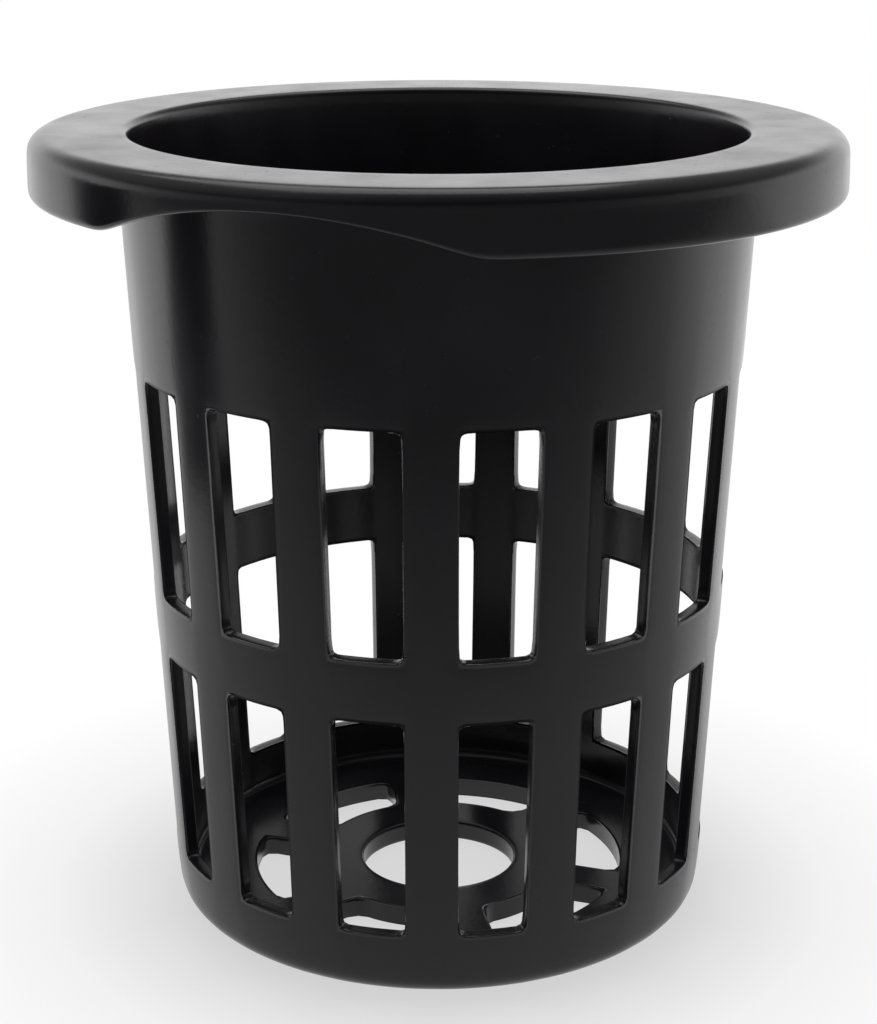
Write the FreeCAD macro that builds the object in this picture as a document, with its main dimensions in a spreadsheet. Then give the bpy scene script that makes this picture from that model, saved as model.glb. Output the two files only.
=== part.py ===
import FreeCAD, Part
import math
import os
import re
import Sketcher

# Net pot for hydroponics: a tapered cup moulded in one piece, open at the top.
# A broad rim with a turned-down skirt hangs the cup in a hole in a tray, and an arched notch
# in the skirt lets a finger under it. Two rows of upright windows leave bars and a belt
# between them, and the floor has a round drain with ring slots between spokes around it.
# Millimetres, +Z up, origin at the centre of the underside, -Y is the front.

SIZES = {
    # cup
    "height": 58.0,
    "mouth_diameter": 43.5,
    "base_diameter": 40.0,
    "wall": 1.0,
    "floor_plate": 1.5,
    "heel_radius": 1.8,
    # rim and skirt
    "rim_diameter": 57.5,
    "rim_plate": 1.5,
    "skirt_depth": 4.25,
    "skirt_wall": 1.4,
    "crown_radius": 1.6,
    "hem_bevel": 0.5,
    # finger notch in the skirt
    "notch_arch_radius": 33.0,
    "notch_cover": 0.2,
    "notch_turn": -32.5,
    # windows in the wall
    "columns": 15,
    "bar_width": 3.75,
    "sill": 4.9,
    "window_height": 16.0,
    "belt": 4.5,
    "window_corner": 0.4,
    # openings in the floor
    "drain_diameter": 11.7,
    "spokes": 6,
    "spoke_width": 3.0,
    "slot_inner_diameter": 18.8,
    "slot_outer_diameter": 28.2,
    "slot_corner": 0.7,
}

# How a sketch counts the axes that it starts with, and the points of a line or arc.
V_AXIS, H_AXIS = range(-2, 0)
START, END, CENTRE = range(1, 4)
ORIGIN = (H_AXIS, START)

TINY = 1e-4


def outer_radius(level):
    """Radius of the cup's tapered outside at a level above its underside."""
    base = "base_diameter / 2"
    return f"({base} + (mouth_diameter / 2 + wall - {base}) * ({level}) / height)"


def window_half_width(level):
    """Half a window's width at a level: what equal bars leave of the wall there."""
    radius = outer_radius(level)
    return f"{radius} * sin(180 deg / columns - asin(bar_width / 2 / {radius}))"


RIM_UNDERSIDE = "height - rim_plate"
SKIRT_FOOT = "height - skirt_depth"
SKIRT_INSIDE = "rim_diameter / 2 - skirt_wall"
LOWER_WINDOW = ("sill", "sill + window_height")
UPPER_WINDOW = ("sill + window_height + belt", "sill + 2 * window_height + belt")

# Corners of the turned section, in order round it: distance from the axis, level.
SECTION = {
    "pole": ("0", "0"),
    "heel": ("base_diameter / 2", "0"),
    "wall_root": (outer_radius(RIM_UNDERSIDE), RIM_UNDERSIDE),
    "skirt_root": (SKIRT_INSIDE, RIM_UNDERSIDE),
    "hem_inside": (SKIRT_INSIDE, SKIRT_FOOT),
    "hem": ("rim_diameter / 2", SKIRT_FOOT),
    "crown": ("rim_diameter / 2", "height"),
    "lip": ("mouth_diameter / 2", "height"),
    "floor_corner": (outer_radius("floor_plate") + " - wall", "floor_plate"),
    "floor_centre": ("0", "floor_plate"),
}

# How the section's corners are finished: kind of dress-up, its size, the corner.
CORNER_FINISHES = {
    "CrownRounding": ("Fillet", "crown_radius", "crown"),
    "HeelRounding": ("Fillet", "heel_radius", "heel"),
    "HemBevel": ("Chamfer", "hem_bevel", "hem"),
}


def size_sheet(doc):
    """Put every size into a cell whose alias is the size's name."""
    sheet = doc.addObject("Spreadsheet::Sheet", "Sizes")
    for row, (name, value) in enumerate(SIZES.items(), start=1):
        sheet.set(f"A{row}", name)
        sheet.set(f"B{row}", str(value))
        sheet.setAlias(f"B{row}", name)
    doc.recompute()
    return sheet


def tied(expression):
    """The expression with each size's name pointing at its cell in the sheet."""
    return re.sub(r"[a-z_]+", lambda m: f"Sizes.{m[0]}" if m[0] in SIZES else m[0], expression)


def value_of(doc, expression):
    """What an expression over the sizes comes to now."""
    value = doc.Sizes.evalExpression(expression)
    return float(getattr(value, "Value", value))


def origin_feature(body, role):
    return next(item for item in body.Origin.OriginFeatures if item.Role == role)


def new_sketch(body, name, plane):
    sketch = body.newObject("Sketcher::SketchObject", name)
    sketch.AttachmentSupport = [(origin_feature(body, plane), "")]
    sketch.MapMode = "FlatFace"
    return sketch


def dimension(sketch, name, kind, places, expression):
    """Add a named dimension that an expression drives."""
    now = value_of(sketch.Document, expression)
    if kind == "Angle":
        now = math.radians(now)
    index = sketch.addConstraint(Sketcher.Constraint(kind, *places, now))
    sketch.renameConstraint(index, name)
    sketch.setExpression(f"Constraints.{name}", tied(expression))


def rule(sketch, kind, *places):
    return sketch.addConstraint(Sketcher.Constraint(kind, *places))


def tie_point(sketch, name, point, across, up):
    """Hold a point at two ordinates, or on the axis where an ordinate is nothing."""
    for kind, axis, expression in (("DistanceX", V_AXIS, across), ("DistanceY", H_AXIS, up)):
        if expression == "0":
            rule(sketch, "PointOnObject", *point, axis)
        else:
            dimension(sketch, f"{name}_{kind[-1].lower()}", kind, (*ORIGIN, *point), expression)


def straight_outline(sketch, corners):
    """Draw a closed outline through named corners, each held at its two ordinates."""
    doc = sketch.Document
    points = [FreeCAD.Vector(value_of(doc, x), value_of(doc, y), 0) for x, y in corners.values()]
    ends = points[1:] + points[:1]
    sides = [sketch.addGeometry(Part.LineSegment(*pair)) for pair in zip(points, ends)]
    for side, following in zip(sides, sides[1:] + sides[:1]):
        rule(sketch, "Coincident", side, END, following, START)
    for side, (name, (across, up)) in zip(sides, corners.items()):
        tie_point(sketch, name, (side, START), across, up)
    return sides


def cut_corner_outline(corners, leg):
    """Swap each corner of an upright, left-to-right symmetrical outline for a short slanting cut."""
    cut = {}
    for name, (across, up) in corners.items():
        inward = "+" if "left" in name else "-"
        toward_middle = "+" if "low" in name else "-"
        beside = (f"{across} {inward} {leg}", up)
        along = (across, f"{up} {toward_middle} {leg}")
        first, second = (along, beside) if name.endswith(("low_left", "high_right")) else (beside, along)
        cut[f"{name}_first"] = first
        cut[f"{name}_second"] = second
    return cut


def turned_form(body):
    """Turn the pot's whole section, from floor to skirt, about its axis."""
    sketch = new_sketch(body, "SectionSketch", "YZ_Plane")
    straight_outline(sketch, SECTION)
    turned = body.newObject("PartDesign::Revolution", "TurnedForm")
    turned.Profile = sketch
    turned.ReferenceAxis = (sketch, ["V_Axis"])
    turned.Angle = 360
    body.Document.recompute()
    return turned


def ring_edges(shape, radius, level):
    """Names of the round edges that run about the axis at this radius and level."""
    names = []
    for number, edge in enumerate(shape.Edges, start=1):
        if not isinstance(edge.Curve, Part.Circle):
            continue
        centre = edge.Curve.Center
        if abs(edge.Curve.Radius - radius) < TINY and abs(centre.z - level) < TINY:
            names.append(f"Edge{number}")
    return names


def dress_edges(body, name, kind, base, edges, size):
    """Fillet or chamfer some edges of a feature by a size that an expression drives."""
    if not edges:
        raise ValueError(f"{name} found no edge")
    dressed = body.newObject(f"PartDesign::{kind}", name)
    dressed.Base = (base, edges)
    measure = {"Fillet": "Radius", "Chamfer": "Size"}[kind]
    setattr(dressed, measure, value_of(body.Document, size))
    dressed.setExpression(measure, tied(size))
    body.Document.recompute()
    return dressed


def finish_section(body, feature):
    """Round or bevel the corners of the turned section."""
    for name, (kind, size, corner) in CORNER_FINISHES.items():
        place = [value_of(body.Document, ordinate) for ordinate in SECTION[corner]]
        feature = dress_edges(body, name, kind, feature, ring_edges(feature.Shape, *place), size)
    return feature


def cut_through(body, name, sketch, reverse):
    """Pocket a sketch through the pot on one side of its plane, and see that it cuts."""
    before = body.Shape.Volume
    pocket = body.newObject("PartDesign::Pocket", name)
    pocket.Profile = sketch
    pocket.Type = "ThroughAll"
    pocket.Reversed = reverse
    body.Document.recompute()
    if pocket.Shape.isNull() or pocket.Shape.Volume > before - TINY:
        raise ValueError(f"{name} cuts nothing")
    return pocket


def repeat_round(body, name, feature, count):
    """Repeat a cut at equal turns about the axis."""
    pattern = body.newObject("PartDesign::PolarPattern", name)
    pattern.Originals = [feature]
    pattern.Axis = (origin_feature(body, "Z_Axis"), [""])
    pattern.Angle = 360
    pattern.Occurrences = int(value_of(body.Document, count))
    pattern.setExpression("Occurrences", tied(count))
    body.Tip = pattern
    body.Document.recompute()
    return pattern


def cut_notch(body):
    """Cut the finger notch: an arch across the skirt, started clear of the cup's wall."""
    sketch = new_sketch(body, "NotchSketch", "XZ_Plane")
    start = "mouth_diameter / 2 + wall"
    turn = sketch.AttachmentOffset
    turn.Rotation = FreeCAD.Rotation(FreeCAD.Vector(0, 1, 0), value_of(body.Document, "notch_turn"))
    sketch.AttachmentOffset = turn
    sketch.setExpression(".AttachmentOffset.Rotation.Angle", tied("notch_turn * 1 deg"))
    sketch.setExpression(".AttachmentOffset.Base.x", tied(f"({start}) * sin(notch_turn * 1 deg)"))
    sketch.setExpression(".AttachmentOffset.Base.z", tied(f"({start}) * cos(notch_turn * 1 deg)"))
    top = value_of(body.Document, f"{RIM_UNDERSIDE} - notch_cover")
    radius = value_of(body.Document, "notch_arch_radius")
    middle = FreeCAD.Vector(0, top - radius, 0)
    arch = sketch.addGeometry(Part.Circle(middle, FreeCAD.Vector(0, 0, 1), radius))
    dimension(sketch, "arch", "Radius", (arch,), "notch_arch_radius")
    level = f"{RIM_UNDERSIDE} - notch_cover - notch_arch_radius"
    tie_point(sketch, "arch_centre", (arch, CENTRE), "0", level)
    return cut_through(body, "FingerNotch", sketch, reverse=True)


def cut_windows(body):
    """Cut the front pair of windows outward from the axis, then repeat the pair all round."""
    sketch = new_sketch(body, "WindowSketch", "XZ_Plane")
    for name, (low, high) in {"lower": LOWER_WINDOW, "upper": UPPER_WINDOW}.items():
        corners = {
            f"{name}_low_left": (f"-({window_half_width(low)})", low),
            f"{name}_low_right": (window_half_width(low), low),
            f"{name}_high_right": (window_half_width(high), high),
            f"{name}_high_left": (f"-({window_half_width(high)})", high),
        }
        straight_outline(sketch, cut_corner_outline(corners, "window_corner"))
    windows = cut_through(body, "WindowPair", sketch, reverse=True)
    return repeat_round(body, "Windows", windows, "columns")


def cut_drain(body):
    """Cut the round drain in the middle of the floor."""
    sketch = new_sketch(body, "DrainSketch", "XY_Plane")
    radius = value_of(body.Document, "drain_diameter / 2")
    hole = sketch.addGeometry(Part.Circle(FreeCAD.Vector(), FreeCAD.Vector(0, 0, 1), radius))
    rule(sketch, "Coincident", hole, CENTRE, *ORIGIN)
    dimension(sketch, "drain", "Diameter", (hole,), "drain_diameter")
    return cut_through(body, "Drain", sketch, reverse=True)


def cut_ring_slots(body):
    """Cut one ring slot between two parallel-sided spokes, and repeat it round the drain."""
    doc = body.Document
    sketch = new_sketch(body, "RingSlotSketch", "XY_Plane")
    inner = value_of(doc, "slot_inner_diameter / 2")
    outer = value_of(doc, "slot_outer_diameter / 2")
    offset = value_of(doc, "spoke_width / 2")
    step = FreeCAD.Rotation(FreeCAD.Vector(0, 0, 1), value_of(doc, "360 / spokes"))

    def beside_first_spoke(radius):
        return FreeCAD.Vector(offset, -((radius ** 2 - offset ** 2) ** 0.5), 0)

    def beside_next_spoke(radius):
        return step.multVec(FreeCAD.Vector(-offset, -((radius ** 2 - offset ** 2) ** 0.5), 0))

    def ring_part(radius):
        start = beside_first_spoke(radius)
        end = beside_next_spoke(radius)
        middle = (start + end).normalize() * radius
        arc = sketch.addGeometry(Part.Arc(start, middle, end))
        rule(sketch, "Coincident", arc, CENTRE, *ORIGIN)
        return arc

    near = ring_part(inner)
    far = ring_part(outer)
    first = sketch.addGeometry(Part.LineSegment(beside_first_spoke(inner), beside_first_spoke(outer)))
    second = sketch.addGeometry(Part.LineSegment(beside_next_spoke(inner), beside_next_spoke(outer)))
    for side, place in ((first, START), (second, END)):
        rule(sketch, "Coincident", side, START, near, place)
        rule(sketch, "Coincident", side, END, far, place)
    spokes = []
    for tip in (FreeCAD.Vector(0, -outer, 0), step.multVec(FreeCAD.Vector(0, -outer, 0))):
        spoke = sketch.addGeometry(Part.LineSegment(FreeCAD.Vector(), tip), True)
        rule(sketch, "Coincident", spoke, START, *ORIGIN)
        rule(sketch, "PointOnObject", spoke, END, far)
        spokes.append(spoke)
    first_spoke, next_spoke = spokes
    rule(sketch, "Vertical", first_spoke)
    dimension(sketch, "spoke_turn", "Angle", (first_spoke, START, next_spoke, START), "360 deg / spokes")
    rule(sketch, "Vertical", first)
    rule(sketch, "Parallel", second, next_spoke)
    dimension(sketch, "first_side", "DistanceX", (*ORIGIN, first, START), "spoke_width / 2")
    dimension(sketch, "second_side", "Distance", (*ORIGIN, second), "spoke_width / 2")
    dimension(sketch, "near_ring", "Diameter", (near,), "slot_inner_diameter")
    dimension(sketch, "far_ring", "Diameter", (far,), "slot_outer_diameter")
    slot = cut_through(body, "RingSlot", sketch, reverse=True)
    return repeat_round(body, "RingSlots", slot, "spokes")


def cut_slot_corners(body, feature):
    """Cut off the four upright corners of every ring slot."""
    plate = value_of(body.Document, "floor_plate")
    names = []
    for number, edge in enumerate(feature.Shape.Edges, start=1):
        box = edge.BoundBox
        upright = max(box.XLength, box.YLength) < TINY and abs(box.ZLength - plate) < TINY
        if upright and isinstance(edge.Curve, Part.Line):
            names.append(f"Edge{number}")
    return dress_edges(body, "RingSlotCorners", "Chamfer", feature, names, "slot_corner")


def net_pot(doc):
    """Model the pot as one body, from the turned section to the last opening."""
    body = doc.addObject("PartDesign::Body", "NetPot")
    body.Label = "net_pot"
    finish_section(body, turned_form(body))
    cut_notch(body)
    cut_slot_corners(body, cut_ring_slots(body))
    cut_drain(body)
    cut_windows(body)
    body.Placement = FreeCAD.Placement()
    doc.recompute()
    return body


def check(doc, body):
    """Stop if anything in the document failed or the pot isn't one whole solid."""
    for item in doc.Objects:
        faults = {"Invalid", "Error"} & set(item.State)
        if faults:
            raise ValueError(f"{item.Name} is {', '.join(faults)}")
    shape = body.Shape
    if shape.isNull() or not shape.isValid() or len(shape.Solids) != 1:
        raise ValueError(f"{body.Label} is not one valid solid")


def main():
    doc = FreeCAD.newDocument("NetPot")
    size_sheet(doc)
    body = net_pot(doc)
    check(doc, body)
    os.makedirs("parts", exist_ok=True)
    body.Shape.exportStep(f"parts/{body.Label}.step")
    box = body.Shape.optimalBoundingBox(False, False)
    print(f"{body.Label}: {box.XLength:.2f} x {box.YLength:.2f} x {box.ZLength:.2f} mm")
    print(f"volume {body.Shape.Volume:.1f} mm3, {len(body.Shape.Faces)} faces")


main()
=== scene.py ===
# %% [markdown]
# # A hydroponic net pot
# The pot is one moulding in black plastic: a tapered cup with a wide hanging rim, two rows of
# upright windows round the wall and a floor with a drain and ring slots.
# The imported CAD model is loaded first. It fixes the size and the place of everything that follows.

# %% Load the frame
import math
import bpy
from mathutils import Matrix, Vector


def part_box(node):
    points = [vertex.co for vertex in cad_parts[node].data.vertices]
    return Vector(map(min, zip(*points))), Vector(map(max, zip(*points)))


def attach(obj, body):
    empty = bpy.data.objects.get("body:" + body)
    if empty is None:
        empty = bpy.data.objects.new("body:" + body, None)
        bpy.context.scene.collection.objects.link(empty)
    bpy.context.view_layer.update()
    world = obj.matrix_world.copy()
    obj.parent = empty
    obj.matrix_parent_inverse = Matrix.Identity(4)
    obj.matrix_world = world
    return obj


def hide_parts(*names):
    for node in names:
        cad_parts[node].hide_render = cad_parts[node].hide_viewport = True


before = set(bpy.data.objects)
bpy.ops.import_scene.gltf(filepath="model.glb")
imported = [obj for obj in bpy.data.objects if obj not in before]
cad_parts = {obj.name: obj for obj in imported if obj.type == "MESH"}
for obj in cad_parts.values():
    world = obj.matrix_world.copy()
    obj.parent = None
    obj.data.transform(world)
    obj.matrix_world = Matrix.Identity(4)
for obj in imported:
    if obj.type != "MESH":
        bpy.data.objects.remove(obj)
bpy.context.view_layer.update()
pot_low, pot_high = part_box("net_pot")
print("pot box in metres:", tuple(pot_low), tuple(pot_high))

# %% [markdown]
# ## The sizes that shape the pot
# The overall height and the rim come from the frame. The rest are the wall, window and floor sizes
# of the moulding, in metres. Keeping them in one place means that every later cell agrees.

# %% Sizes
MM = 0.001
HEIGHT = pot_high.z
RIM_RADIUS = pot_high.x
MOUTH_RADIUS = 21.75 * MM
BASE_RADIUS = 20.0 * MM
WALL = 1.0 * MM
FLOOR = 1.5 * MM
LIP_RADIUS = 0.5 * MM
HEEL_RADIUS = 1.8 * MM
FLOOR_CORNER_RADIUS = 0.8 * MM

RIM_PLATE = 1.5 * MM
SKIRT_DEPTH = 4.25 * MM
SKIRT_WALL = 1.4 * MM
CROWN_RADIUS = 1.3 * MM
ROOT_RADIUS = 0.6 * MM
HEM_RADIUS = 0.5 * MM
HEM_INNER_RADIUS = 0.3 * MM

NOTCH_TURN = math.radians(-32.5)
NOTCH_ARCH_RADIUS = 33.0 * MM
NOTCH_COVER = 0.2 * MM
NOTCH_FADE = 0.7 * MM

COLUMNS = 15
BAR_WIDTH = 3.75 * MM
SILL = 4.9 * MM
WINDOW_HEIGHT = 16.0 * MM
BELT = 4.5 * MM
WINDOW_CORNER = 0.45 * MM
BAR_EDGE = 0.18 * MM

SPOKES = 6
SPOKE_WIDTH = 3.0 * MM
DRAIN_RADIUS = 5.85 * MM
SLOT_INNER_RADIUS = 9.4 * MM
SLOT_OUTER_RADIUS = 14.1 * MM
SLOT_CORNER = 1.0 * MM
SLOT_EDGE = 0.12 * MM

UNDERSIDE = HEIGHT - RIM_PLATE
SKIRT_FOOT = HEIGHT - SKIRT_DEPTH
SKIRT_INSIDE = RIM_RADIUS - SKIRT_WALL
# How far the middle of a quarter arc lies from its square corner, along each side, for a radius of one.
ARC_BULGE = 1 - math.sqrt(0.5)
# Extra points are set this far beside an arc or an edge, to keep the flats flat.
ARC_SUPPORT = 0.3 * MM
ROW_SUPPORT = 0.45 * MM
BAR_SUPPORT = 0.38 * MM
SLOT_SUPPORT = 0.35 * MM
INNER_EDGE = 0.12 * MM
print(f"{COLUMNS} window columns, bars {BAR_WIDTH / MM:.2f} mm wide")

# %% [markdown]
# ## The turned section
# Cut the real pot in half and the wall shows as one closed outline. The cage of the pot follows that
# outline: each row of the cage is one point of it, turned round the axis. Round corners get a few
# points on their arc, and flat stretches get a point close to each arc, so that smooth shading
# doesn't bleed from the curve onto the flat.

# %% Rows of the cage
def outer_radius(level):
    """Outside radius of the tapered wall."""
    return BASE_RADIUS + (MOUTH_RADIUS + WALL - BASE_RADIUS) * level / HEIGHT


def arc(centre, radius, start, end, steps):
    """Points on an arc in the section, angles in degrees from the outward direction."""
    turns = [math.radians(start + (end - start) * step / steps) for step in range(steps + 1)]
    return [(centre[0] + radius * math.cos(turn), centre[1] + radius * math.sin(turn)) for turn in turns]


WINDOW_SPANS = [
    (SILL, SILL + WINDOW_HEIGHT),
    (SILL + WINDOW_HEIGHT + BELT, SILL + 2 * WINDOW_HEIGHT + BELT),
]
wall_levels = []
for low, high in WINDOW_SPANS:
    third = (high - low) / 3
    wall_levels += [low - ROW_SUPPORT, low, low + WINDOW_CORNER, low + third]
    wall_levels += [high - third, high - WINDOW_CORNER, high, high + ROW_SUPPORT]
# Levels between the windows and the rim, each with its share of the window spacing.
PLAIN_LEVELS = [(45 * MM, 0.66), (49.5 * MM, 0.33), (53 * MM, 0.0)]
# The wall panels and the floor parts meet at this distance from the axis.
JOIN_RADIUS = 16.6 * MM


def cage_rows():
    """Section rows as (radius, level, window spacing share, place), from the underside round and in."""
    heel = outer_radius(0)
    rows = [(JOIN_RADIUS, 0.0, 0.0, "floor"), (heel - HEEL_RADIUS - ARC_SUPPORT, 0.0, 0.5, "floor")]
    heel_arc = arc((heel - HEEL_RADIUS, HEEL_RADIUS), HEEL_RADIUS, -90, 0, 4)
    rows += [(radius, level, 1.0, "heel") for radius, level in heel_arc]
    rows += [(outer_radius(level), level, 1.0, "outside") for level in wall_levels]
    rows += [(outer_radius(level), level, share, "outside") for level, share in PLAIN_LEVELS]
    root = outer_radius(UNDERSIDE)
    root_arc = arc((root + ROOT_RADIUS, UNDERSIDE - ROOT_RADIUS), ROOT_RADIUS, 180, 90, 2)
    rows += [(radius, level, 0.0, "root") for radius, level in root_arc]
    rows.append(((root + SKIRT_INSIDE) / 2, UNDERSIDE, 0.0, "root"))
    skirt_root = arc((SKIRT_INSIDE - ROOT_RADIUS, UNDERSIDE - ROOT_RADIUS), ROOT_RADIUS, 90, 0, 2)
    rows += [(radius, level, 0.0, "skirt_inside") for radius, level in skirt_root]
    hem_centre = (SKIRT_INSIDE + HEM_INNER_RADIUS, SKIRT_FOOT + HEM_INNER_RADIUS)
    inner_hem = arc(hem_centre, HEM_INNER_RADIUS, 180, 270, 2)
    rows += [(radius, level, 0.0, "skirt_inside") for radius, level in inner_hem]
    outer_hem = arc((RIM_RADIUS - HEM_RADIUS, SKIRT_FOOT + HEM_RADIUS), HEM_RADIUS, -90, 0, 3)
    rows += [(radius, level, 0.0, "skirt_outside") for radius, level in outer_hem]
    rows.append((RIM_RADIUS, SKIRT_FOOT + HEM_RADIUS + ARC_SUPPORT, 0.0, "skirt_outside"))
    crown = (RIM_RADIUS - CROWN_RADIUS, HEIGHT - CROWN_RADIUS)
    crown_arc = arc(crown, CROWN_RADIUS, -10, 90, 5)[1:]
    rows += [(radius, level, 0.0, "skirt_outside") for radius, level in crown_arc]
    rows.append((crown[0] - ARC_SUPPORT, HEIGHT, 0.0, "top"))
    rows.append((MOUTH_RADIUS + LIP_RADIUS + ARC_SUPPORT, HEIGHT, 0.0, "top"))
    lip = arc((MOUTH_RADIUS + LIP_RADIUS, HEIGHT - LIP_RADIUS), LIP_RADIUS, 90, 180, 3)
    rows += [(radius, level, 0.0, "lip") for radius, level in lip]
    rows += [(outer_radius(level) - WALL, level, share, "inside") for level, share in PLAIN_LEVELS[::-1]]
    rows += [(outer_radius(level) - WALL, level, 1.0, "inside") for level in reversed(wall_levels)]
    inner = outer_radius(FLOOR) - WALL
    corner = (inner - FLOOR_CORNER_RADIUS, FLOOR + FLOOR_CORNER_RADIUS)
    corner_arc = arc(corner, FLOOR_CORNER_RADIUS, 0, -90, 3)
    rows += [(radius, level, 1.0, "corner") for radius, level in corner_arc]
    rows += [(corner[0] - ARC_SUPPORT, FLOOR, 0.5, "floor"), (JOIN_RADIUS, FLOOR, 0.0, "floor")]
    return rows


wall_rows = cage_rows()
print(len(wall_rows), "rows from the underside, over the rim and back to the floor")

# %% [markdown]
# ## One panel of the wall
# The wall repeats every twenty-four degrees, so only one panel is drawn: a window between two half
# bars. Its cage has eleven columns. Their spacing follows the window's straight sides where the
# windows are, and evens out towards the rim and the floor, so that the panels and the floor meet
# point to point.

# %% Columns of the wall panel
PANEL_TURN = 2 * math.pi / COLUMNS
PANEL_COLUMNS = 10
MIDDLE_COLUMN = PANEL_COLUMNS // 2
INNER_COLUMN = 0.45


def window_half_width(level):
    """Half the width that equal bars leave for a window at a level."""
    radius = outer_radius(level)
    return radius * math.sin(PANEL_TURN / 2 - math.asin(BAR_WIDTH / 2 / radius))


def column_place(column, radius, level, share):
    """Distance across the panel of a cage point, between even and window spacing."""
    step = abs(column - MIDDLE_COLUMN)
    side = -1 if column < MIDDLE_COLUMN else 1
    half = window_half_width(level)
    edge = math.asin(half / radius)
    turns = [
        0.0,
        math.asin(INNER_COLUMN * half / radius),
        math.asin((half - WINDOW_CORNER) / radius),
        edge,
        edge + BAR_SUPPORT / radius,
        PANEL_TURN / 2,
    ]
    even = PANEL_TURN * step / PANEL_COLUMNS
    return side * (even + (turns[step] - even) * share)


def around(turn, radius, level):
    """A point at a turn from the front, a distance from the axis and a level."""
    return Vector((radius * math.sin(turn), -radius * math.cos(turn), level))


# %% [markdown]
# ## Windows with rounded corners and eased edges
# A window is a hole through both skins of the wall, closed all round by short walls that run straight
# through. Each point of its outline is pushed a little: at the corners into the opening, to round
# them, and at the outer edge away from it and into the wall, to ease the edge.

# %% Wall panel mesh
WINDOW_COLUMNS = (2, 8)


def window_outline(low_row, high_row):
    """Cage places round a window, in order, starting at its lower left corner."""
    left, right = WINDOW_COLUMNS
    bottom = [(column, low_row) for column in range(left, right)]
    side = [(right, row) for row in range(low_row, high_row)]
    top = [(column, high_row) for column in range(right, left, -1)]
    back = [(left, row) for row in range(high_row, low_row, -1)]
    return bottom + side + top + back


def outline_direction(column, row, low_row, high_row):
    """Direction from the opening to the wall at a place on the outline."""
    across = (column == WINDOW_COLUMNS[1]) - (column == WINDOW_COLUMNS[0])
    up = (row == high_row) - (row == low_row)
    return Vector((across, up)).normalized()


def through_wall(across, level, radius):
    """A point on the straight wall of a window."""
    return Vector((across, -math.sqrt(radius ** 2 - across ** 2), level))


class Cage:
    """Vertices and faces of a cage, with the skirt's share of the notch at each vertex."""

    def __init__(self):
        self.points, self.faces, self.shares = [], [], []

    def add(self, point, share=0.0):
        self.points.append(point)
        self.shares.append(share)
        return len(self.points) - 1


def skirt_share(radius, level, place):
    """How far a cage point follows the notch: all the way at the foot, not at all at the top."""
    ceiling = {"skirt_inside": UNDERSIDE, "skirt_outside": HEIGHT - NOTCH_FADE}.get(place)
    if ceiling is None or level > ceiling:
        return 0.0
    return (ceiling - level) / (ceiling - SKIRT_FOOT)


def panel_grid(cage):
    """Add every cage point of the panel, row by row."""
    grid = []
    for radius, level, share, place in wall_rows:
        turns = [column_place(column, radius, level, share) for column in range(PANEL_COLUMNS + 1)]
        notch = skirt_share(radius, level, place)
        grid.append([cage.add(around(turn, radius, level), notch) for turn in turns])
    return grid


def row_of(level, place):
    """The row of the cage at a level on the outside or the inside of the wall."""
    for number, (_, row_level, _, row_place) in enumerate(wall_rows):
        if row_place == place and math.isclose(row_level, level, abs_tol=1e-7):
            return number
    raise ValueError(f"no {place} row at {level}")


def line_window(cage, grid, span):
    """Shape a window's outline on both skins and add the walls through it."""
    low, high = span
    outer_low, outer_high = row_of(low, "outside"), row_of(high, "outside")
    inner_low = row_of(low, "inside")
    rings = [[], [], [], []]
    for column, row in window_outline(outer_low, outer_high):
        _, level, _, _ = wall_rows[row]
        step = abs(column - MIDDLE_COLUMN)
        half = window_half_width(level)
        places = [0.0, INNER_COLUMN * half, half - WINDOW_CORNER, half]
        across = math.copysign(places[step], column - MIDDLE_COLUMN)
        away = outline_direction(column, row, outer_low, outer_high)
        if away.x and away.y:
            across -= math.copysign(ARC_BULGE * WINDOW_CORNER, away.x)
            level -= math.copysign(ARC_BULGE * WINDOW_CORNER, away.y)
        eased = ARC_BULGE * BAR_EDGE
        outside = outer_radius(level)
        inner_row = inner_low - (row - outer_low)
        outer_point, inner_point = grid[row][column], grid[inner_row][column]
        cage.points[outer_point] = through_wall(
            across + away.x * eased, level + away.y * eased, outside - eased
        )
        cage.points[inner_point] = through_wall(across, level, outside - WALL)
        rings[0].append(outer_point)
        rings[1].append(cage.add(through_wall(across, level, outside - BAR_EDGE)))
        rings[2].append(cage.add(through_wall(across, level, outside - WALL + INNER_EDGE)))
        rings[3].append(inner_point)
    count = len(rings[0])
    for near, far in zip(rings, rings[1:]):
        for place in range(count):
            after = (place + 1) % count
            cage.faces.append((near[place], far[place], far[after], near[after]))


def wall_panel():
    """The cage of one wall panel, from floor join to floor join."""
    cage = Cage()
    grid = panel_grid(cage)
    holes = set()
    for low, high in WINDOW_SPANS:
        for place, ends in (("outside", (low, high)), ("inside", (high, low))):
            for row in range(row_of(ends[0], place), row_of(ends[1], place)):
                holes |= {(row, column) for column in range(*WINDOW_COLUMNS)}
    for row in range(len(grid) - 1):
        for column in range(PANEL_COLUMNS):
            if (row, column) not in holes:
                a, b = grid[row][column], grid[row][column + 1]
                c, d = grid[row + 1][column + 1], grid[row + 1][column]
                cage.faces.append((a, b, c, d))
    for span in WINDOW_SPANS:
        line_window(cage, grid, span)
    return cage


panel = wall_panel()
print("wall panel:", len(panel.points), "points,", len(panel.faces), "faces")

# %% [markdown]
# ## One sixth of the floor
# The floor repeats six times. Each part runs from the middle of one spoke to the middle of the next,
# with a ring slot between. Its outermost ring of points is spaced evenly, to match the wall panels.

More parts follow.
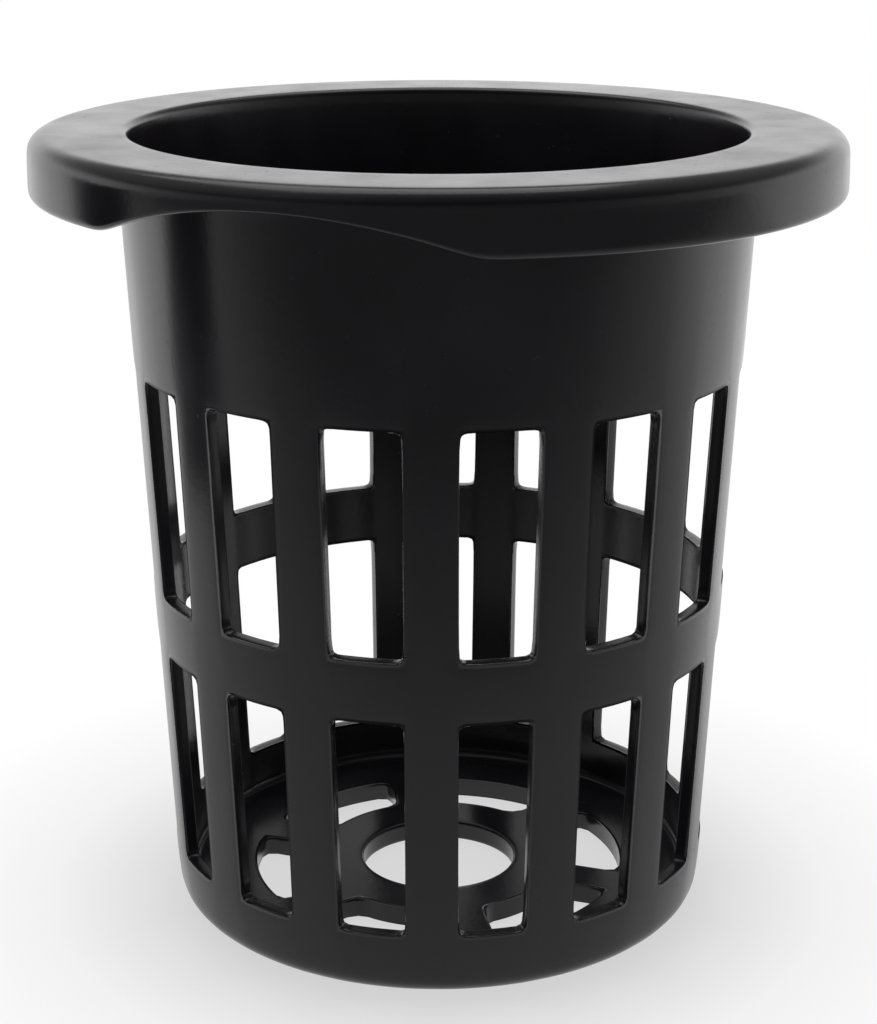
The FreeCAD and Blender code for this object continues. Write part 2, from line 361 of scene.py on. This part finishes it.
# %% Floor part mesh
FLOOR_TURN = 2 * math.pi / SPOKES
FLOOR_COLUMNS = 25
SLOT_COLUMNS = (3, 22)
slot_rows = [
    (JOIN_RADIUS, 0.0),
    (SLOT_OUTER_RADIUS + SLOT_SUPPORT, 1.0),
    (SLOT_OUTER_RADIUS, 1.0),
    (SLOT_OUTER_RADIUS - SLOT_CORNER, 1.0),
    (SLOT_INNER_RADIUS + SLOT_CORNER, 1.0),
    (SLOT_INNER_RADIUS, 1.0),
    (SLOT_INNER_RADIUS - SLOT_SUPPORT, 1.0),
    ((SLOT_INNER_RADIUS + DRAIN_RADIUS) / 2, 0.4),
    (DRAIN_RADIUS + SLOT_SUPPORT, 0.0),
]
SLOT_ROWS = (2, 5)


def floor_turn(column, radius, share):
    """Turn of a floor column from the first spoke's middle line."""
    edge = math.asin(SPOKE_WIDTH / 2 / radius)
    anchors = {
        0: 0.0,
        2: edge - SLOT_SUPPORT / radius,
        3: edge,
        4: edge + SLOT_CORNER / radius,
    }
    mirror = {FLOOR_COLUMNS - number: FLOOR_TURN - turn for number, turn in anchors.items()}
    anchors.update(mirror)
    before = max(number for number in anchors if number <= column)
    after = min(number for number in anchors if number >= column)
    if before == after:
        shaped = anchors[before]
    else:
        shaped = anchors[before] + (anchors[after] - anchors[before]) * (column - before) / (after - before)
    even = FLOOR_TURN * column / FLOOR_COLUMNS
    return even + (shaped - even) * share


def slot_outline():
    """Places round the ring slot as (row, column), in order."""
    (first, last), (near, far) = SLOT_COLUMNS, SLOT_ROWS
    outer = [(near, column) for column in range(first, last)]
    side = [(row, last) for row in range(near, far)]
    inner = [(far, column) for column in range(last, first, -1)]
    back = [(row, first) for row in range(far, near, -1)]
    return outer + side + inner + back


def slot_point(row, column):
    """Distance and turn of a floor cage place, with the slot's corners rounded."""
    radius, share = slot_rows[row]
    turn = floor_turn(column, radius, share)
    if row in SLOT_ROWS and column in SLOT_COLUMNS:
        inset = ARC_BULGE * SLOT_CORNER
        radius += inset if row == SLOT_ROWS[1] else -inset
        turn += (inset if column == SLOT_COLUMNS[0] else -inset) / radius
    return radius, turn


def floor_part():
    """The cage of one floor part: both faces, the drain's wall and the slot's wall."""
    cage = Cage()
    skins = []
    for level in (FLOOR, 0.0):
        skin = []
        for row in range(len(slot_rows)):
            places = [slot_point(row, column) for column in range(FLOOR_COLUMNS + 1)]
            skin.append([cage.add(around(turn, radius, level)) for radius, turn in places])
        skins.append(skin)
    top, bottom = skins
    levels = (FLOOR, FLOOR - SLOT_EDGE, SLOT_EDGE, 0.0)
    turns = [FLOOR_TURN * column / FLOOR_COLUMNS for column in range(FLOOR_COLUMNS + 1)]
    drain = [[cage.add(around(turn, DRAIN_RADIUS, level)) for turn in turns] for level in levels]

    def face(near, far, column, flip=False):
        corners = (near[column], near[column + 1], far[column + 1], far[column])
        cage.faces.append(corners[::-1] if flip else corners)

    for row in range(len(slot_rows) - 1):
        for column in range(FLOOR_COLUMNS):
            if not (row in range(*SLOT_ROWS) and column in range(*SLOT_COLUMNS)):
                face(top[row], top[row + 1], column)
                face(bottom[row], bottom[row + 1], column, flip=True)
    for column in range(FLOOR_COLUMNS):
        face(top[-1], drain[0], column)
        face(bottom[-1], drain[-1], column, flip=True)
        for upper, lower in zip(drain, drain[1:]):
            face(upper, lower, column)
    places = slot_outline()
    rings = [[top[row][column] for row, column in places]]
    for level in levels[1:-1]:
        spots = [slot_point(row, column) for row, column in places]
        rings.append([cage.add(around(turn, radius, level)) for radius, turn in spots])
    rings.append([bottom[row][column] for row, column in places])
    for near, far in zip(rings, rings[1:]):
        for place in range(len(places)):
            after = (place + 1) % len(places)
            cage.faces.append((near[place], far[place], far[after], near[after]))
    return cage


floor_cage = floor_part()
print("floor part:", len(floor_cage.points), "points,", len(floor_cage.faces), "faces")

# %% [markdown]
# ## From cages to one mesh
# Both cages go into one mesh. Two attributes travel with it: which faces belong to the floor, and how
# far each point of the skirt follows the finger notch.

# %% Seed mesh
def seed_mesh(name, wall, floor):
    """Join the two cages and store what the node tree needs to know about them."""
    offset = len(wall.points)
    points = wall.points + floor.points
    faces = wall.faces + [tuple(corner + offset for corner in face) for face in floor.faces]
    mesh = bpy.data.meshes.new(name)
    mesh.from_pydata([tuple(point) for point in points], [], faces)
    is_floor = mesh.attributes.new("is_floor", "BOOLEAN", "FACE")
    is_floor.data.foreach_set("value", [number >= len(wall.faces) for number in range(len(faces))])
    share = mesh.attributes.new("notch_share", "FLOAT", "POINT")
    share.data.foreach_set("value", wall.shares + floor.shares)
    return mesh


seed = bpy.data.objects.new("pot_shell", seed_mesh("pot_shell", panel, floor_cage))
bpy.context.scene.collection.objects.link(seed)
print("seed mesh:", len(seed.data.polygons), "faces")

# %% [markdown]
# ## Repeat, notch and smooth
# Geometry Nodes does what a mould maker's pattern does. It turns copies of the panel and of the floor
# part about the axis, welds their edges, lifts the skirt's foot along the notch's arch, and then
# subdivides the cage once, so that its round corners come out smooth.

# %% Node helpers
def place_node(tree, kind, **settings):
    """Add a node, then set its properties and unlinked inputs by name."""
    node = tree.nodes.new(kind)
    for name, value in settings.items():
        if hasattr(node, name):
            setattr(node, name, value)
        else:
            node.inputs[name.replace("_", " ")].default_value = value
    return node


def math_node(tree, operation, *values):
    """A math node whose inputs are sockets or plain numbers; gives its output socket."""
    node = tree.nodes.new("ShaderNodeMath")
    node.operation = operation
    for socket, value in zip(node.inputs, values):
        if isinstance(value, (int, float)):
            socket.default_value = value
        else:
            tree.links.new(value, socket)
    return node.outputs[0]


TREE_INPUTS = {
    "Wall Panels": ("NodeSocketInt", COLUMNS),
    "Floor Parts": ("NodeSocketInt", SPOKES),
    "Weld Distance": ("NodeSocketFloat", 0.01 * MM),
    "Notch Turn": ("NodeSocketFloat", NOTCH_TURN),
    "Notch Arch Radius": ("NodeSocketFloat", NOTCH_ARCH_RADIUS),
    "Notch Top": ("NodeSocketFloat", UNDERSIDE - NOTCH_COVER),
    "Skirt Foot": ("NodeSocketFloat", SKIRT_FOOT),
    "Smoothing": ("NodeSocketInt", 1),
    "Plastic": ("NodeSocketMaterial", None),
}
print("the pot tree takes:", ", ".join(TREE_INPUTS))


# %% Pot tree
def copies_around(tree, geometry, count):
    """Nodes that repeat a geometry at equal turns about the axis."""
    points = tree.nodes.new("GeometryNodePoints")
    tree.links.new(count, points.inputs["Count"])
    instances = tree.nodes.new("GeometryNodeInstanceOnPoints")
    tree.links.new(points.outputs[0], instances.inputs["Points"])
    tree.links.new(geometry, instances.inputs["Instance"])
    index = tree.nodes.new("GeometryNodeInputIndex")
    turn = math_node(tree, "DIVIDE", math_node(tree, "MULTIPLY", index.outputs[0], 2 * math.pi), count)
    rotation = tree.nodes.new("ShaderNodeCombineXYZ")
    tree.links.new(turn, rotation.inputs["Z"])
    tree.links.new(rotation.outputs[0], instances.inputs["Rotation"])
    realized = tree.nodes.new("GeometryNodeRealizeInstances")
    tree.links.new(instances.outputs[0], realized.inputs[0])
    return realized.outputs[0]


def notch_lift(tree, inputs):
    """How high the notch's arch stands over the skirt's foot at each point."""
    place = tree.nodes.new("ShaderNodeSeparateXYZ")
    tree.links.new(tree.nodes.new("GeometryNodeInputPosition").outputs[0], place.inputs[0])
    x, y, _ = place.outputs

    def calc(operation, *values):
        return math_node(tree, operation, *values)

    cosine = calc("COSINE", inputs["Notch Turn"])
    sine = calc("SINE", inputs["Notch Turn"])
    across = calc("ADD", calc("MULTIPLY", x, cosine), calc("MULTIPLY", y, sine))
    forward = calc("SUBTRACT", calc("MULTIPLY", x, sine), calc("MULTIPLY", y, cosine))
    radius = inputs["Notch Arch Radius"]
    square = calc("SUBTRACT", calc("POWER", radius, 2), calc("POWER", across, 2))
    drop = calc("SUBTRACT", radius, calc("SQRT", calc("MAXIMUM", square, 0.0)))
    arch = calc("SUBTRACT", inputs["Notch Top"], drop)
    height = calc("MAXIMUM", calc("SUBTRACT", arch, inputs["Skirt Foot"]), 0.0)
    return calc("MULTIPLY", height, calc("GREATER_THAN", forward, 0.0))


def pot_tree():
    """Build the node tree that turns the seed mesh into the pot."""
    tree = bpy.data.node_groups.new("Turn the pot", "GeometryNodeTree")
    tree.interface.new_socket(name="Geometry", in_out="INPUT", socket_type="NodeSocketGeometry")
    for name, (kind, _) in TREE_INPUTS.items():
        tree.interface.new_socket(name=name, in_out="INPUT", socket_type=kind)
    tree.interface.new_socket(name="Geometry", in_out="OUTPUT", socket_type="NodeSocketGeometry")
    inputs = tree.nodes.new("NodeGroupInput").outputs
    is_floor = place_node(tree, "GeometryNodeInputNamedAttribute", data_type="BOOLEAN", Name="is_floor")
    parts = tree.nodes.new("GeometryNodeSeparateGeometry")
    parts.domain = "FACE"
    tree.links.new(inputs["Geometry"], parts.inputs["Geometry"])
    tree.links.new(is_floor.outputs["Attribute"], parts.inputs["Selection"])
    floor = copies_around(tree, parts.outputs["Selection"], inputs["Floor Parts"])
    wall = copies_around(tree, parts.outputs["Inverted"], inputs["Wall Panels"])
    joined = tree.nodes.new("GeometryNodeJoinGeometry")
    tree.links.new(floor, joined.inputs[0])
    tree.links.new(wall, joined.inputs[0])
    weld = tree.nodes.new("GeometryNodeMergeByDistance")
    tree.links.new(joined.outputs[0], weld.inputs["Geometry"])
    tree.links.new(inputs["Weld Distance"], weld.inputs["Distance"])
    share = place_node(tree, "GeometryNodeInputNamedAttribute", data_type="FLOAT", Name="notch_share")
    lift = math_node(tree, "MULTIPLY", share.outputs["Attribute"], notch_lift(tree, inputs))
    offset = tree.nodes.new("ShaderNodeCombineXYZ")
    tree.links.new(lift, offset.inputs["Z"])
    notched = tree.nodes.new("GeometryNodeSetPosition")
    tree.links.new(weld.outputs[0], notched.inputs["Geometry"])
    tree.links.new(offset.outputs[0], notched.inputs["Offset"])
    smooth = tree.nodes.new("GeometryNodeSubdivisionSurface")
    tree.links.new(notched.outputs[0], smooth.inputs["Mesh"])
    tree.links.new(inputs["Smoothing"], smooth.inputs["Level"])
    shade = tree.nodes.new("GeometryNodeSetShadeSmooth")
    tree.links.new(smooth.outputs[0], shade.inputs["Geometry"])
    realized = tree.nodes.new("GeometryNodeRealizeInstances")
    tree.links.new(shade.outputs[0], realized.inputs[0])
    painted = tree.nodes.new("GeometryNodeSetMaterial")
    tree.links.new(realized.outputs[0], painted.inputs["Geometry"])
    tree.links.new(inputs["Plastic"], painted.inputs["Material"])
    output = tree.nodes.new("NodeGroupOutput")
    tree.links.new(painted.outputs[0], output.inputs[0])
    return tree


tree = pot_tree()
print("node tree:", len(tree.nodes), "nodes")

# %% [markdown]
# ## Black moulded plastic
# Polypropylene from a polished mould is nearly black with a soft gloss. A node group gives its small
# unevenness: cloudy patches in the gloss, a very fine skin on the surface, faint flow streaks that
# run up the wall, and dust and handling marks. The shader itself stays in the material.

# %% Skin group
CLOUD_SCALE, DUST_SCALE = 90.0, 1500.0
STREAK_STRETCH = (1.0, 1.0, 0.08)


def skin_group():
    """Values of a moulded skin that change over the surface: colour share, roughness and height."""
    group = bpy.data.node_groups.new("Moulded skin", "ShaderNodeTree")
    for name, kind in (
        ("Position", "NodeSocketVector"),
        ("Streak Scale", "NodeSocketFloat"),
        ("Skin Scale", "NodeSocketFloat"),
    ):
        group.interface.new_socket(name=name, in_out="INPUT", socket_type=kind)
    for name in ("Cloud", "Streak", "Skin", "Dust"):
        group.interface.new_socket(name=name, in_out="OUTPUT", socket_type="NodeSocketFloat")
    inputs = group.nodes.new("NodeGroupInput").outputs
    output = group.nodes.new("NodeGroupOutput").inputs

    def noise(scale, detail, vector, roughness=0.5):
        node = group.nodes.new("ShaderNodeTexNoise")
        node.inputs["Detail"].default_value = detail
        node.inputs["Roughness"].default_value = roughness
        group.links.new(vector, node.inputs["Vector"])
        if isinstance(scale, float):
            node.inputs["Scale"].default_value = scale
        else:
            group.links.new(scale, node.inputs["Scale"])
        return node.outputs[0]

    def band(value, low, high):
        node = group.nodes.new("ShaderNodeMapRange")
        node.inputs["From Min"].default_value = low
        node.inputs["From Max"].default_value = high
        group.links.new(value, node.inputs["Value"])
        return node.outputs[0]

    stretch = group.nodes.new("ShaderNodeMapping")
    stretch.inputs["Scale"].default_value = STREAK_STRETCH
    position = inputs["Position"]
    group.links.new(position, stretch.inputs["Vector"])
    streaks = noise(inputs["Streak Scale"], 3.0, stretch.outputs[0])
    group.links.new(band(noise(CLOUD_SCALE, 3.0, position), 0.35, 0.65), output["Cloud"])
    group.links.new(band(streaks, 0.3, 0.7), output["Streak"])
    group.links.new(noise(inputs["Skin Scale"], 4.0, position, 0.6), output["Skin"])
    group.links.new(band(noise(DUST_SCALE, 2.0, position), 0.70, 0.78), output["Dust"])
    return group


moulded_skin = skin_group()
print("skin group:", len(moulded_skin.nodes), "nodes")

# %% [markdown]
# ## The material itself
# The colour is almost black with a hint of violet. What tells the eye that it is moulded plastic is the
# gloss, so roughness follows the streaks, clouds and dust, and a faint bump breaks up the mirror.

# %% Plastic material
PLAIN_COLOUR = (0.0150, 0.0135, 0.0170, 1.0)
CLOUDY_COLOUR = (0.0240, 0.0210, 0.0260, 1.0)
PLAIN_ROUGHNESS = 0.14
ROUGHNESS_SHARES = {"Streak": 0.07, "Cloud": 0.05, "Dust": 0.15}
STREAK_HEIGHT = 0.6
STREAK_SCALE, SKIN_SCALE = 260.0, 2600.0
BUMP_STRENGTH, BUMP_HEIGHT = 0.25, 0.03 * MM


def black_plastic():
    """Glossy black polypropylene with moulding and handling marks."""
    material = bpy.data.materials.new("black_polypropylene")
    material.use_nodes = True
    tree = material.node_tree
    tree.nodes.clear()
    shader = tree.nodes.new("ShaderNodeBsdfPrincipled")
    output = tree.nodes.new("ShaderNodeOutputMaterial")
    tree.links.new(shader.outputs[0], output.inputs["Surface"])
    shader.inputs["IOR"].default_value = 1.5
    shader.inputs["Specular IOR Level"].default_value = 0.5
    coordinates = tree.nodes.new("ShaderNodeTexCoord")
    skin = tree.nodes.new("ShaderNodeGroup")
    skin.node_tree = moulded_skin
    skin.inputs["Streak Scale"].default_value = STREAK_SCALE
    skin.inputs["Skin Scale"].default_value = SKIN_SCALE
    tree.links.new(coordinates.outputs["Object"], skin.inputs["Position"])
    colour = tree.nodes.new("ShaderNodeMix")
    colour.data_type = "RGBA"
    colour.inputs["A"].default_value = PLAIN_COLOUR
    colour.inputs["B"].default_value = CLOUDY_COLOUR
    tree.links.new(skin.outputs["Cloud"], colour.inputs["Factor"])
    tree.links.new(colour.outputs["Result"], shader.inputs["Base Color"])
    roughness = PLAIN_ROUGHNESS
    for name, share in ROUGHNESS_SHARES.items():
        extra = math_node(tree, "MULTIPLY", skin.outputs[name], share)
        roughness = math_node(tree, "ADD", extra, roughness)
    tree.links.new(roughness, shader.inputs["Roughness"])
    bump = tree.nodes.new("ShaderNodeBump")
    bump.inputs["Strength"].default_value = BUMP_STRENGTH
    bump.inputs["Distance"].default_value = BUMP_HEIGHT
    streaks = math_node(tree, "MULTIPLY", skin.outputs["Streak"], STREAK_HEIGHT)
    height = math_node(tree, "ADD", skin.outputs["Skin"], streaks)
    tree.links.new(height, bump.inputs["Height"])
    tree.links.new(bump.outputs[0], shader.inputs["Normal"])
    return material


plastic = black_plastic()
print("material:", plastic.name)

# %% [markdown]
# ## Make the pot and put it in the frame
# The node tree's result is copied to a plain mesh, because a finished piece carries no live tree, and the
# modifier goes. The pot then stands for the frame's own solid and rides on the part's one body. A closed
# moulding has exactly two faces at every edge.

# %% Turn the pot
def apply_tree(obj, node_tree, values):
    """Run a node tree on an object and keep the result as its plain mesh."""
    modifier = obj.modifiers.new("Turn", "NODES")
    modifier.node_group = node_tree
    for item in node_tree.interface.items_tree:
        if item.in_out == "INPUT" and item.name in values:
            modifier[item.identifier] = values[item.name]
    bpy.context.view_layer.update()
    evaluated = obj.evaluated_get(bpy.context.evaluated_depsgraph_get())
    mesh = bpy.data.meshes.new_from_object(evaluated)
    obj.modifiers.remove(modifier)
    mesh.name = obj.name
    obj.data = mesh
    return obj


tree_values = {name: value for name, (_, value) in TREE_INPUTS.items()}
tree_values["Plastic"] = plastic
pot = apply_tree(seed, tree, tree_values)
for name in ("is_floor", "notch_share"):
    stored = pot.data.attributes.get(name)
    if stored:
        pot.data.attributes.remove(stored)
print("pot:", len(pot.data.polygons), "faces")

# %% Put it in the frame
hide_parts("net_pot")
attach(pot, "root")
edge_faces = {}
for polygon in pot.data.polygons:
    for edge in polygon.edge_keys:
        edge_faces[edge] = edge_faces.get(edge, 0) + 1
print("edges that don't join two faces:", sum(count != 2 for count in edge_faces.values()))

# %% [markdown]
# ## Floor, background and light
# Black plastic shows what stands round it more than its own colour. The pot stands on a white sheet whose
# glow in reflections is painted light: bright behind and beside it, with painted shade falling off towards
# the camera, so its face stays deep black and its sides shine. Camera rays see plain white, with the pot's
# own soft shadow.

# %% Stage
CAMERA_TURN = math.radians(-10.7)


def camera_side(tree, vector):
    """How far a place or a direction lies towards the camera's side of the pot."""
    parts = tree.nodes.new("ShaderNodeSeparateXYZ")
    tree.links.new(vector, parts.inputs[0])
    along_x = math_node(tree, "MULTIPLY", parts.outputs["X"], math.sin(CAMERA_TURN))
    along_y = math_node(tree, "MULTIPLY", parts.outputs["Y"], math.cos(CAMERA_TURN))
    return math_node(tree, "SUBTRACT", along_x, along_y)


def ramp(tree, value, low, high, stops):
    """A value spread over low to high and read from a ramp of (place, strength) stops."""
    spread = place_node(tree, "ShaderNodeMapRange", From_Min=low, From_Max=high)
    tree.links.new(value, spread.inputs["Value"])
    node = tree.nodes.new("ShaderNodeValToRGB")
    while len(node.color_ramp.elements) < len(stops):
        node.color_ramp.elements.new(0.5)
    for element, (place, strength) in zip(node.color_ramp.elements, stops):
        element.position = (place - low) / (high - low)
        element.color = (strength, strength, strength, 1.0)
    tree.links.new(spread.outputs[0], node.inputs[0])
    return node.outputs[0]


# Stops are a distance in metres and a strength. Near the pot its own shadow shows through the white.
WHITE_TO_CAMERA = [(0.02, 0.62), (0.03, 0.85), (0.045, 1.0)]
# Painted light: in reflections the sheet glows with these strengths, bright behind the pot, with painted
# shade towards the camera.
SHEET_PAINTED_GLOW = [(-0.06, 1.0), (-0.02, 0.8), (0.0, 0.6), (0.05, 0.42), (0.09, 0.26), (0.12, 0.13)]
SHEET_GLOW = 1.1
SHEET_COLOUR = (0.80, 0.79, 0.82, 1.0)


def stage_floor():
    """A white sheet: plain white to the camera; in reflections a painted glow, dimmer towards the camera.
    """
    size = 3.0
    mesh = bpy.data.meshes.new("floor")
    corners = [(-size, -size, 0), (size, -size, 0), (size, size, 0), (-size, size, 0)]
    mesh.from_pydata(corners, [], [(0, 1, 2, 3)])
    floor = bpy.data.objects.new("floor", mesh)
    bpy.context.scene.collection.objects.link(floor)
    material = bpy.data.materials.new("white_sheet")
    material.use_nodes = True
    tree = material.node_tree
    tree.nodes.clear()
    output = tree.nodes.new("ShaderNodeOutputMaterial")
    place = tree.nodes.new("ShaderNodeTexCoord").outputs["Object"]
    path = tree.nodes.new("ShaderNodeLightPath").outputs
    distance = tree.nodes.new("ShaderNodeVectorMath")
    distance.operation = "LENGTH"
    tree.links.new(place, distance.inputs[0])
    clear = ramp(tree, distance.outputs["Value"], 0.0, 0.1, WHITE_TO_CAMERA)
    # Painted glow and painted shade on the sheet, seen only in reflections.
    bright = ramp(tree, camera_side(tree, place), -0.06, 0.12, SHEET_PAINTED_GLOW)
    diffuse = tree.nodes.new("ShaderNodeBsdfDiffuse")
    diffuse.inputs["Color"].default_value = SHEET_COLOUR
    glow = tree.nodes.new("ShaderNodeEmission")
    reflected = math_node(tree, "MULTIPLY", bright, SHEET_GLOW)
    reflected = math_node(tree, "MULTIPLY", path["Is Glossy Ray"], reflected)
    tree.links.new(math_node(tree, "ADD", path["Is Camera Ray"], reflected), glow.inputs["Strength"])
    mix = tree.nodes.new("ShaderNodeMixShader")
    seen = math_node(tree, "MULTIPLY", path["Is Camera Ray"], clear)
    share = math_node(tree, "ADD", seen, path["Is Glossy Ray"])
    tree.links.new(share, mix.inputs[0])
    tree.links.new(diffuse.outputs[0], mix.inputs[1])
    tree.links.new(glow.outputs[0], mix.inputs[2])
    tree.links.new(mix.outputs[0], output.inputs["Surface"])
    mesh.materials.append(material)
    return floor


# Stops are a part of the direction, from -1 to 1, and a strength: by height, then towards the camera.
TENT_BY_HEIGHT = [(-1.0, 1.0), (0.22, 1.0), (0.45, 0.22), (0.75, 0.3), (1.0, 0.4)]
TENT_TOWARDS_CAMERA = [(-1.0, 1.0), (-0.25, 1.0), (0.25, 0.4), (0.8, 0.14)]
TENT_STRENGTH = 1.15


def tent_world():
    """White to the camera; for the rest a bright band low down behind and beside the pot."""
    world = bpy.data.worlds.new("light_tent")
    bpy.context.scene.world = world
    world.use_nodes = True
    tree = world.node_tree
    tree.nodes.clear()
    output = tree.nodes.new("ShaderNodeOutputWorld")
    direction = tree.nodes.new("ShaderNodeTexCoord").outputs["Generated"]
    up = tree.nodes.new("ShaderNodeSeparateXYZ")
    tree.links.new(direction, up.inputs[0])
    band = ramp(tree, up.outputs["Z"], -1.0, 1.0, TENT_BY_HEIGHT)
    side = ramp(tree, camera_side(tree, direction), -1.0, 1.0, TENT_TOWARDS_CAMERA)
    strength = math_node(tree, "MULTIPLY", math_node(tree, "MULTIPLY", band, side), TENT_STRENGTH)
    white = (1.0, 1.0, 1.0, 1.0)
    tent = place_node(tree, "ShaderNodeBackground", Color=white)
    tree.links.new(strength, tent.inputs["Strength"])
    plain = place_node(tree, "ShaderNodeBackground", Color=white)
    path = tree.nodes.new("ShaderNodeLightPath")
    mix = tree.nodes.new("ShaderNodeMixShader")
    tree.links.new(path.outputs["Is Camera Ray"], mix.inputs[0])
    tree.links.new(tent.outputs[0], mix.inputs[1])
    tree.links.new(plain.outputs[0], mix.inputs[2])
    tree.links.new(mix.outputs[0], output.inputs["Surface"])


stage_floor()
tent_world()
print("stage:", bpy.context.scene.world.name, "and a white sheet")

# %% [markdown]
# ## A lamp above and a black card beside
# One large soft lamp hangs above and a little behind the pot and draws the pale line along the rim's
# rounding. A black card stands at the left, where the camera doesn't see it: its reflection is the
# dark stripe down the wall.

# %% Lamps and card
CARD_BLACK = (0.01, 0.01, 0.01, 1.0)


def soft_lamp(name, place, target, size, watts):
    """A large square lamp that faces a target."""
    data = bpy.data.lights.new(name, "AREA")
    data.shape = "SQUARE"
    data.size = size
    data.energy = watts
    lamp = bpy.data.objects.new(name, data)
    bpy.context.scene.collection.objects.link(lamp)
    lamp.location = place
    lamp.rotation_euler = (Vector(target) - Vector(place)).to_track_quat("-Z", "Y").to_euler()
    return lamp


def dark_card(name, across, towards, width, height):
    """A standing black card that only reflections see."""
    turn = Matrix.Rotation(CAMERA_TURN, 4, "Z")
    half = width / 2
    corners = [(across, -towards - half, 0), (across, -towards + half, 0)]
    corners += [(across, -towards + half, height), (across, -towards - half, height)]
    mesh = bpy.data.meshes.new(name)
    mesh.from_pydata([tuple(turn @ Vector(corner)) for corner in corners], [], [(0, 1, 2, 3)])
    card = bpy.data.objects.new(name, mesh)
    bpy.context.scene.collection.objects.link(card)
    material = bpy.data.materials.new("black_card")
    material.use_nodes = True
    material.node_tree.nodes["Principled BSDF"].inputs["Base Color"].default_value = CARD_BLACK
    mesh.materials.append(material)
    card.visible_camera = False
    card.visible_diffuse = False
    card.visible_shadow = False
    return card


soft_lamp("top_lamp", (0.0, 0.204, 0.459), target=(0, 0, HEIGHT / 2), size=0.35, watts=0.42)
dark_card("side_card", across=-0.11, towards=-0.003, width=0.046, height=0.06)

# %% [markdown]
# ## Camera
# The camera looks down on the pot from a little to its left, close enough that the far rim is seen
# smaller than the near one.

# %% Camera
CAMERA_DISTANCE = 159.2 * MM
CAMERA_HEIGHT = 79.3 * MM
CAMERA_PITCH = math.radians(17.41)
CAMERA_LENS = 78.9
camera_data = bpy.data.cameras.new("camera")
camera_data.sensor_width = 36.0
camera_data.lens = CAMERA_LENS
camera_data.clip_start = 0.01
camera = bpy.data.objects.new("camera", camera_data)
bpy.context.scene.collection.objects.link(camera)
camera.location = around(CAMERA_TURN, CAMERA_DISTANCE, CAMERA_HEIGHT)
camera.rotation_euler = (math.pi / 2 - CAMERA_PITCH, 0.0, CAMERA_TURN)
bpy.context.scene.camera = camera
bpy.context.scene.view_settings.view_transform = "Standard"
print(f"camera: {CAMERA_DISTANCE / MM:.1f} mm from the axis, {CAMERA_LENS} mm lens")
